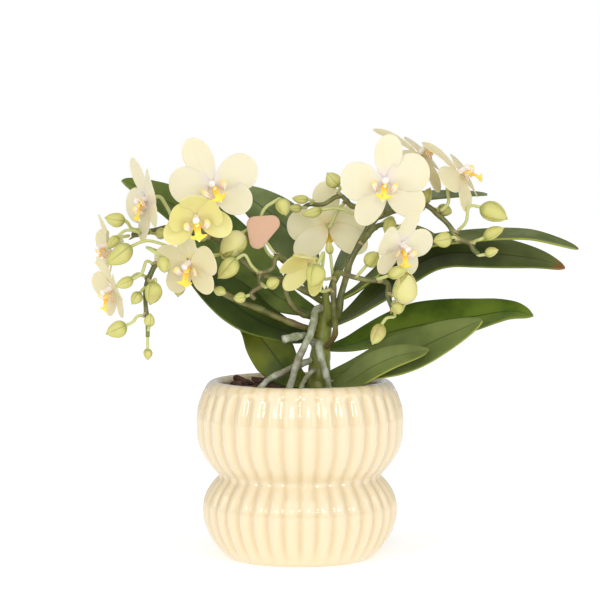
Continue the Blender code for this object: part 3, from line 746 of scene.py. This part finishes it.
def petal_finish(name, cream, heart, edge):
    made = Finish(name, Roughness=0.48, Subsurface_Weight=0.2, Subsurface_Radius=(1, 0.8, 0.4),
                  Subsurface_Scale=0.0015, Sheen_Weight=0.1)  # fmt: skip
    u, v = made.across_and_along()
    veins = made.node("TexNoise", sockets={"Scale": 1, "Detail": 2, "Vector": made.stretched((34, 1.2, 1), "UV")})
    body = made.blend(made.noise(60), cream, edge)
    body = made.blend((1 - v.ramp(0.0, 0.3)) * 0.9, body, heart)
    body = made.blend(veins * 0.12, body, heart)
    made.set("Base Color", body)
    made.bump(veins + 0.3 * made.noise(900, detail=1), 0.16, 0.0002)
    glow = made.node("BsdfTranslucent", sockets={"Color": body})
    whole = made.node("MixShader", sockets={0: 0.3, 1: Value(made, made.shader.outputs[0]), 2: glow})
    made.tree.links.new(whole.socket, made.tree.nodes["Material Output"].inputs["Surface"])
    return made


CREAM = petal_finish("petal_cream", (0.91, 0.86, 0.70), (0.89, 0.81, 0.77), (0.88, 0.82, 0.54))
# A paler cream for the back centre flower: painted light that makes up for the shade it stands in.
PALE_AGAINST_SHADE = petal_finish("petal_pale_against_shade", (0.97, 0.93, 0.71), (0.94, 0.82, 0.48), (0.95, 0.88, 0.58))
YELLOW = petal_finish("petal_yellow", (0.91, 0.87, 0.48), (0.89, 0.79, 0.40), (0.82, 0.75, 0.22))
HONEY = petal_finish("petal_honey", (0.87, 0.81, 0.60), (0.87, 0.77, 0.44), (0.84, 0.76, 0.44))
white_lobe = Finish("lip_white", Roughness=0.4, Subsurface_Weight=0.2, Subsurface_Scale=0.001)
u, v = white_lobe.across_and_along()
stripe = u.maths("PINGPONG", u * 5, 1.0).ramp(0.55, 0.8) * (1 - v.ramp(0.3, 0.75))
lobe_tone = white_lobe.blend(v.ramp(0.5, 0.95), (0.84, 0.78, 0.68), (0.86, 0.66, 0.20))
white_lobe.set("Base Color", white_lobe.blend(stripe * 0.8, lobe_tone, (0.80, 0.30, 0.05)))
white_lobe.bump(white_lobe.noise(700), 0.15, 0.0002)
gold_lobe = Finish("lip_gold", Roughness=0.35, Subsurface_Weight=0.15, Subsurface_Scale=0.001)
u, v = gold_lobe.across_and_along()
gold = gold_lobe.blend(v.ramp(0.05, 0.6), (0.90, 0.44, 0.03), (0.96, 0.70, 0.07))
gold = gold_lobe.blend(gold_lobe.noise(500).ramp(0.6, 0.7) * 0.5, gold, (0.7, 0.2, 0.02))
gold_lobe.set("Base Color", gold_lobe.blend(v.ramp(0.88, 0.98), gold, (0.93, 0.88, 0.75)))
gold_lobe.bump(gold_lobe.noise(600), 0.2, 0.0003)
column_white = Finish("column_white", Roughness=0.35, Subsurface_Weight=0.25, Subsurface_Scale=0.001)
blush = column_white.noise(260)
column_white.set("Base Color", column_white.blend(blush, (0.80, 0.71, 0.68), (0.84, 0.78, 0.70)))
column_white.bump(blush, 0.1, 0.0002)
stalk_green = Finish("stalk_green", Roughness=0.42, Subsurface_Weight=0.1, Subsurface_Scale=0.001)
stalk_tone = stalk_green.noise(120)
stalk_green.set("Base Color", stalk_green.blend(stalk_tone, (0.42, 0.45, 0.13), (0.62, 0.62, 0.28)))
stalk_green.bump(stalk_tone, 0.15, 0.0002)


def thin(piece, thick, look):
    """Gives a sheet its thickness and its material."""
    modify(piece, "SOLIDIFY", thickness=thick * MM, offset=0)
    modify(piece, "SUBSURF", levels=1, render_levels=1)
    bpy.ops.object.shade_smooth()
    piece.data.materials.append(look.material)
    return piece


def flower_frame(node):
    """Centre, forward, upward and sideways directions, reach of the petals and how far their tips
    bend forward, all read from the CAD flower: its stalk's rings, its back, its rim and its boss."""
    rings = rings_of(node)
    if np.ptp(rings[1], axis=0).max() > np.ptp(rings[-2], axis=0).max():
        rings = rings[::-1]
    back, rim = rings[5], rings[6]
    front = np.cross(back, np.roll(back, -1, axis=0)).sum(0)
    front *= np.sign(front @ (rings[-1][0] - back.mean(0))) / np.linalg.norm(front)
    centre = back.mean(0) + front
    away = rim - centre
    flat = away - np.outer(away @ front, front)
    reach = np.linalg.norm(flat, axis=1)
    top = int(reach.argmax())
    up = flat[top] / reach[top]
    half = reach[top] / 1.1
    cup = (away[top] @ front + 0.5) / 1.21
    stalk = [ring.mean(0) for ring in rings[:5]]
    return centre, front, up, np.cross(up, front), half, cup, stalk


def disc(u, v):
    """The square 0 to 1 by 0 to 1 drawn onto a round disc: -1 to 1 across and 0 to 1 along."""
    s, r = 2 * u - 1, 2 * v - 1
    return s * np.sqrt(1 - r * r / 2), (r * np.sqrt(1 - s * s / 2) + 1) / 2


class Bloom:
    """One flower: its own directions, and its parts as they are made."""

    def __init__(self, node, seed, look):
        self.centre, self.front, self.up, self.right, self.half, self.cup, self.stalk = flower_frame(node)
        self.shake = random.Random(seed)
        self.look = look
        self.parts = []

    def put(self, x, y, z):
        """Points from the flower's own x to its right, y up and z forward."""
        spots = np.stack(np.broadcast_arrays(x, y, z), axis=-1)
        return self.centre + spots @ np.array([self.right, self.up, self.front])

    def tepal(self, angle, length, width, neck, lift, bow, bend):
        """A sepal or petal that points at angle degrees from the top, clockwise from the front.
        neck is how narrow its base is, lift its height before the others, bow how far its edges
        curl forward and bend how far its tip does, in mm."""
        shake = self.shake
        turn = math.radians(angle)
        phase, ripple = shake.uniform(0, 6), shake.uniform(0.3, 0.6)
        root = 1.2

        def skin(u, v):
            p, t = disc(u, v)
            x = p * width / 2 * (1 - neck * (1 - t) ** 2)
            y = root + (length - root) * t
            z = lift + bend * t * t + bow * p * p + ripple * p * np.abs(p) * np.sin(5 * t + phase)
            z += 0.25 * np.exp(-((p / 0.12) ** 2)) * (1 - t)
            return self.put(
                x * math.cos(turn) + y * math.sin(turn), y * math.cos(turn) - x * math.sin(turn), z
            )

        self.parts.append(thin(sheet("tepal", 16, 18, skin), 0.5, self.look))

    def side_lobe(self, side):
        middle = np.array([side * 4.9, -4.6, 5.6])
        along = np.array([side * 0.42, 0.72, 0.55])
        across = np.array([side * 0.62, -0.66, 0.42])
        inward = np.cross(along, across) * side

        def skin(u, v):
            p, t = disc(u, v)
            local = middle + np.outer((2 * t - 1) * 3.9, along) + np.outer(p * 2.3 * (0.75 + 0.4 * t), across)
            local += np.outer(1.1 * p * p + 0.9 * (2 * t - 1) ** 2, inward)
            return self.put(*local.T)

        self.parts.append(thin(sheet("side_lobe", 10, 12, skin), 0.45, white_lobe))

    def middle_lobe(self):
        def skin(u, v):
            c = 2 * u - 1
            arm = np.exp(-(((v - 0.76) / 0.12) ** 2))
            wide = (1.55 + 0.5 * (1 - v) + 3.7 * arm) * np.clip((1 - v) * 5, 0.12, 1) ** 0.7
            y = -3.6 - 9.8 * v + 1.7 * arm * c * c
            z = 4.2 + 4.6 * np.sin(1.8 * v) - 1.2 * v * v + 0.8 * c * c * (1 - v) + 1.1 * c * c * arm
            return self.put(c * wide, y, z)

        self.parts.append(thin(sheet("middle_lobe", 12, 26, skin), 0.7, gold_lobe))

    def column(self):
        spots = self.put(np.zeros(5), np.array([0, -0.1, -0.3, -0.7, -1.1]), np.array([0.0, 2.2, 4.4, 6.4, 8.0]))

        def girth(v, turn):
            return (1.7 + 0.4 * np.exp(-(((v - 0.82) / 0.14) ** 2))) * np.clip((1 - v) * 8, 0, 1) ** 0.5

        post = tube("column", 16, 26, spots, girth)
        post.data.materials.append(column_white.material)
        ridge = self.put(np.zeros(3), np.array([-2.6, -3.6, -4.8]), np.array([2.4, 4.6, 5.9]))
        knob = tube("callus", 12, 10, ridge, lambda v, turn: 1.5 + 0.35 * np.cos(2 * turn))
        knob.data.materials.append(gold_lobe.material)
        self.parts += [post, knob]

    def stem(self):
        line = [*self.stalk, self.centre - 0.2 * self.front]
        post = tube("stalk", 10, 30, line, lambda v, turn: 1.05 + 0.7 * v**5)
        post.data.materials.append(stalk_green.material)
        self.parts.append(post)


# How a flower's tepals stand: angle, then length and width over the half span, and forward bend in
# mm. The upper sepal comes first, then left and right petals, then left and right sepals.
USUAL = ((0, 1.12, 0.72, 2), (-82, 1.05, 1.0, 2), (82, 1.05, 1.0, 2), (-141, 1.1, 0.78, 2), (141, 1.1, 0.78, 2))
TEPALS = {
    "flower_crown_left": (
        (0, 1.2, 0.75, 2), (-66, 1.02, 1.0, 3), (96, 1.16, 1.0, 2), (-134, 1.0, 0.75, 2), (151, 1.1, 0.85, 3)
    ),
    "flower_front_left": (
        (0, 0.85, 0.95, 9), (-80, 0.85, 1.0, 8), (80, 0.85, 1.0, 8), (-118, 1.2, 0.9, 3), (116, 1.2, 0.95, 3)
    ),
    "flower_crown_right": (
        (-1, 1.08, 0.7, 2), (-101, 1.06, 1.02, 2), (66, 1.06, 1.02, 3), (-158, 1.22, 0.68, 2), (124, 1.14, 0.86, 2)
    ),
    "flower_back_centre": (
        (0, 1.1, 0.72, 0), (-84, 1.02, 0.92, 0), (84, 1.02, 0.92, 0), (-128, 1.1, 0.72, -3), (128, 1.1, 0.72, -3)
    ),
    "flower_opening_centre": (
        (0, 1.0, 1.3, 11), (-70, 0.95, 1.2, 12), (70, 0.95, 1.2, 12), (-138, 1.5, 0.9, 3), (140, 1.1, 1.1, 10)
    ),
    "flower_side_right_inner": (
        (0, 1.2, 0.55, -3), (-84, 1.0, 0.85, -2), (84, 1.0, 0.85, -2), (-140, 1.08, 0.6, -4), (140, 1.08, 0.6, -4)
    ),
    "flower_side_right_outer": (
        (0, 1.2, 0.55, -3), (-84, 1.0, 0.85, -2), (84, 1.0, 0.85, -2), (-140, 1.08, 0.6, -4), (140, 1.08, 0.6, -4)
    ),
}  # fmt: skip
FLOWER_LOOKS = {
    "flower_front_left": YELLOW,
    "flower_opening_centre": YELLOW,
    "flower_back_centre": PALE_AGAINST_SHADE,
    "flower_side_left_middle": HONEY,
    "flower_side_left_low": HONEY,
    "flower_low_left": HONEY,
    "flower_side_right_inner": HONEY,
    "flower_side_right_outer": HONEY,
}
for seed, node in enumerate(FLOWER_NODES):
    bloom = Bloom(node, seed, FLOWER_LOOKS.get(node, CREAM))
    for k, (angle, length, width, bend) in enumerate(TEPALS.get(node, USUAL)):
        petal = k in (1, 2)
        bloom.tepal(angle, length * bloom.half, width * bloom.half, 0.45 if petal else 0.3,
                    0.6 if petal else -0.5, -0.9 if petal else 0.9, bend + bloom.cup * 0.5)  # fmt: skip
    if node != "flower_opening_centre":
        for side in (-1, 1):
            bloom.side_lobe(side)
        bloom.middle_lobe()
        bloom.column()
    bloom.stem()
    place_in_pot(join(node + "_bloom", bloom.parts), "petal", node)

# --- Buds --------------------------------------------------------------------------------------
# Closed buds of all sizes, egg-shaped with a slight beak, yellow-green and greener at the base. The
# edges of their three sepals show as fine seams, painted darker as shade in the creases. The largest two are about
# to open.

bud_skin = Finish("bud_skin", Roughness=0.4, Subsurface_Weight=0.15, Subsurface_Scale=0.001)
u, v = bud_skin.across_and_along()
bud_tone = bud_skin.blend(bud_skin.noise(95), (0.44, 0.43, 0.085), (0.63, 0.595, 0.23))
bud_tone = bud_skin.blend((1 - v.ramp(0.0, 0.35)) * 0.8, bud_tone, (0.25, 0.29, 0.05))
bud_tone = bud_skin.blend(v.ramp(0.86, 1.0) * 0.6, bud_tone, (0.30, 0.30, 0.06))
bud_tone = bud_skin.blend(bud_skin.noise(55).ramp(0.58, 0.75) * 0.5, bud_tone, (0.34, 0.21, 0.08))
# The sepals' seams are painted darker: painted shade in the creases between them.
seam_shade = 1 - u.maths("PINGPONG", (u + 0.08 * v) * 3, 0.5).ramp(0.0, 0.07)
bud_skin.set("Base Color", bud_skin.blend(seam_shade * 0.65, bud_tone, (0.26, 0.26, 0.04)))
bud_skin.bump(bud_skin.noise(500), 0.12, 0.0002)


def egg(v, width):
    beak = 1 - 0.35 * np.exp(-(((v - 0.93) / 0.06) ** 2))
    return width / 2 * np.sin(math.pi * np.clip(v, 0, 1) ** 0.74) ** 0.72 * beak


def bud_parts(base, tip, width, stalk, opening=False):
    """A bud from base to tip and its stalk, a row of places that ends at base. One that is opening
    has three yellow sepals that overlap and stand a little apart at their tips."""
    axis = (tip - base) / np.linalg.norm(tip - base)
    across = np.cross(axis, (0.2, 0.9, 0.4))
    across /= np.linalg.norm(across)
    other = np.cross(axis, across)
    hook = 0.04 * np.linalg.norm(tip - base)

    def skin(u, v):
        turn = 2 * math.pi * u + 0.5 * v
        seam = np.exp(-((np.sin(1.5 * turn) / 0.16) ** 2))
        radius = egg(v, width) * (1 - 0.11 * seam) * (1 + 0.05 * np.cos(3 * turn + math.pi))
        bend = hook * np.sin(math.pi * v)
        return (
            base
            + (tip - base) * v[:, None]
            + across * (radius * np.cos(turn) + bend)[:, None]
            + other * (radius * np.sin(turn))[:, None]
        )

    body = sheet("bud", 36, 24, skin, closed=True)
    body.data.materials.append(bud_skin.material)
    post = tube("stalk", 8, 18, [*stalk, base + axis * 0.6], lambda v, turn: 0.95 + 0.25 * v**4)
    post.data.materials.append(stalk_green.material)
    shells = []
    for number in range(3 if opening else 0):

        def shell_skin(u, v):
            turn = 2.1 * number + 2.5 * (u - 0.5) * (1 - v**6) + 0.4 * v
            radius = egg(0.04 + 0.9 * v, width) * (1.03 + 0.04 * number) + 1.6 * v**5
            return (
                base
                + (tip - base) * (0.04 + (0.9 + 0.06 * number) * v)[:, None]
                + across * (radius * np.cos(turn))[:, None]
                + other * (radius * np.sin(turn))[:, None]
            )

        shells.append(thin(sheet("sepal", 14, 18, shell_skin), 0.45, YELLOW))
    return [body, post, *shells]


for node in BUD_NODES:
    rings = rings_of(node)
    if np.ptp(rings[1], axis=0).max() > np.ptp(rings[-2], axis=0).max():
        rings = rings[::-1]
    tip = rings[-1][0]
    first = rings[-5].mean(0)
    base = first - (tip - first) * 0.12 / 0.88
    width = 2 * np.linalg.norm(rings[-4] - rings[-4].mean(0), axis=1).mean()
    opening = node in ("bud_centre_2", "bud_right_6")
    parts = bud_parts(base, tip, width, [ring.mean(0) for ring in rings[:-5]], opening)
    made = join(node + "_closed", parts)
    place_in_pot(made, "bud", node)

# Smaller buds: spike, place along it, base, tip, width.
SMALL_BUDS = (
    ("spike_left_low", 0.83, (-93, -50, 163), (-98, -52, 156), 7.0),
    ("spike_left_low", 0.96, (-88, -50, 143), (-87, -52, 151), 6.5),
    ("spike_left_low", 1.0, (-89, -48, 130), (-89, -48, 123), 5.4),
    ("spike_left_high", 0.91, (-85, -26, 196), (-78, -30, 196), 7.0),
    ("spike_left_low", 0.45, (-50, -42, 164), (-43, -46, 162), 5.9),
    ("spike_centre", 0.94, (-32, -40, 160), (-39, -44, 159), 6.5),
    ("branch_top", 0.92, (5, -14, 216), (-5, -18, 217), 5.4),
    ("branch_top", 1.0, (1, -12, 211), (-7, -16, 211), 5.4),
    ("spike_right", 0.73, (82, -12, 210), (91, -6, 208), 7.6),
    ("branch_inner", 0.14, (55, -20, 205), (50, -24, 196), 7.6),
    ("spike_right", 1.0, (109, -29, 184), (117, -32, 187), 5.8),
    ("spike_right", 0.70, (74, -10, 213), (78, -6, 223), 6.5),
    ("spike_front", 0.98, (56, -44, 156), (58, -48, 150), 8.1),
    ("spike_front", 0.65, (39, -38, 178), (46, -42, 186), 9.2),
    ("spike_front", 0.43, (18, -26, 184), (17, -27, 192), 4.9),
)
for number, (spike, share, base, tip, width) in enumerate(SMALL_BUDS):
    line = spike_lines[spike][0]
    start = line[min(int(share * 399), 393)]
    base, tip = np.array(base, float), np.array(tip, float)
    bend = base - (tip - base) * 0.4
    made = join(f"small_bud_{number}", bud_parts(base, tip, width, [start, bend * 0.7 + start * 0.3, base]))
    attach(made, "root")

# --- Tag ---------------------------------------------------------------------------------------
# A small card of peach pasteboard in the shape of a rounded triangle, bare on both sides. An open
# ring on its back snaps round the stalk of a bud.

card = Finish("peach_card", Roughness=0.75)
fibre = card.noise(700, detail=3)
card.set("Base Color", card.blend(fibre, (0.56, 0.34, 0.22), (0.60, 0.38, 0.26)))
card.bump(fibre, 0.15, 0.0002)
TAG_CORNERS = ((5.4, 4.6), (-4.6, 3.9), (-3.0, -5.6))
TAG_CORNER_RADIUS = 4.8
TAG_THICKNESS = 1.2
CLIP_RADIUS = 1.7
tag_low, tag_high = (np.array(corner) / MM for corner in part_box("plant_tag"))
tag_middle = np.array([tag_high[0] - TAG_CORNERS[0][0] - TAG_CORNER_RADIUS, tag_low[1] + TAG_THICKNESS / 2, 0])
tag_middle[2] = tag_low[2] - TAG_CORNERS[2][1] + TAG_CORNER_RADIUS


def card_outline(u):
    """The tag's edge as distances from its middle: what lies round all three corner discs."""
    turn = 2 * math.pi * u
    heading = np.stack([np.cos(turn), np.sin(turn)])
    reach = np.max([np.array(c) @ heading for c in TAG_CORNERS], axis=0) + TAG_CORNER_RADIUS
    slope = np.gradient(reach, turn, edge_order=2)
    return (reach * heading[0] - slope * heading[1], reach * heading[1] + slope * heading[0])


def card_skin(u, v):
    fine = np.linspace(-0.02, 1.02, 2081)
    x, z = card_outline(fine)
    rim = 1 - np.abs(np.clip(np.abs(v - 0.5) * 4 - 1, 0, 1))
    level = np.clip((v - 0.5) * 8, -1, 1) * TAG_THICKNESS / 2
    inset = np.where(np.abs(level) >= TAG_THICKNESS / 2 - 1e-6, 0.97, 1.0)
    shape = rim * inset
    return tag_middle + np.column_stack([np.interp(u, fine, x) * shape, level, np.interp(u, fine, z) * shape])


plate = sheet("tag_card", 90, 24, card_skin, closed=True)
clip_middle = tag_middle + (-1.5, TAG_THICKNESS / 2 + CLIP_RADIUS + 0.2, 3)
turns = np.radians(60 - 300 * np.linspace(0, 1, 13))
ring = clip_middle + CLIP_RADIUS * np.column_stack([np.cos(turns), np.sin(turns), 0 * turns])
clip = tube("tag_clip", 10, 48, ring, lambda v, turn: 0.45 + 0 * v)
for part in (plate, clip):
    part.data.materials.append(card.material)
tag = join("plain_tag", [plate, clip])
place_in_pot(tag, "tag", "plant_tag")
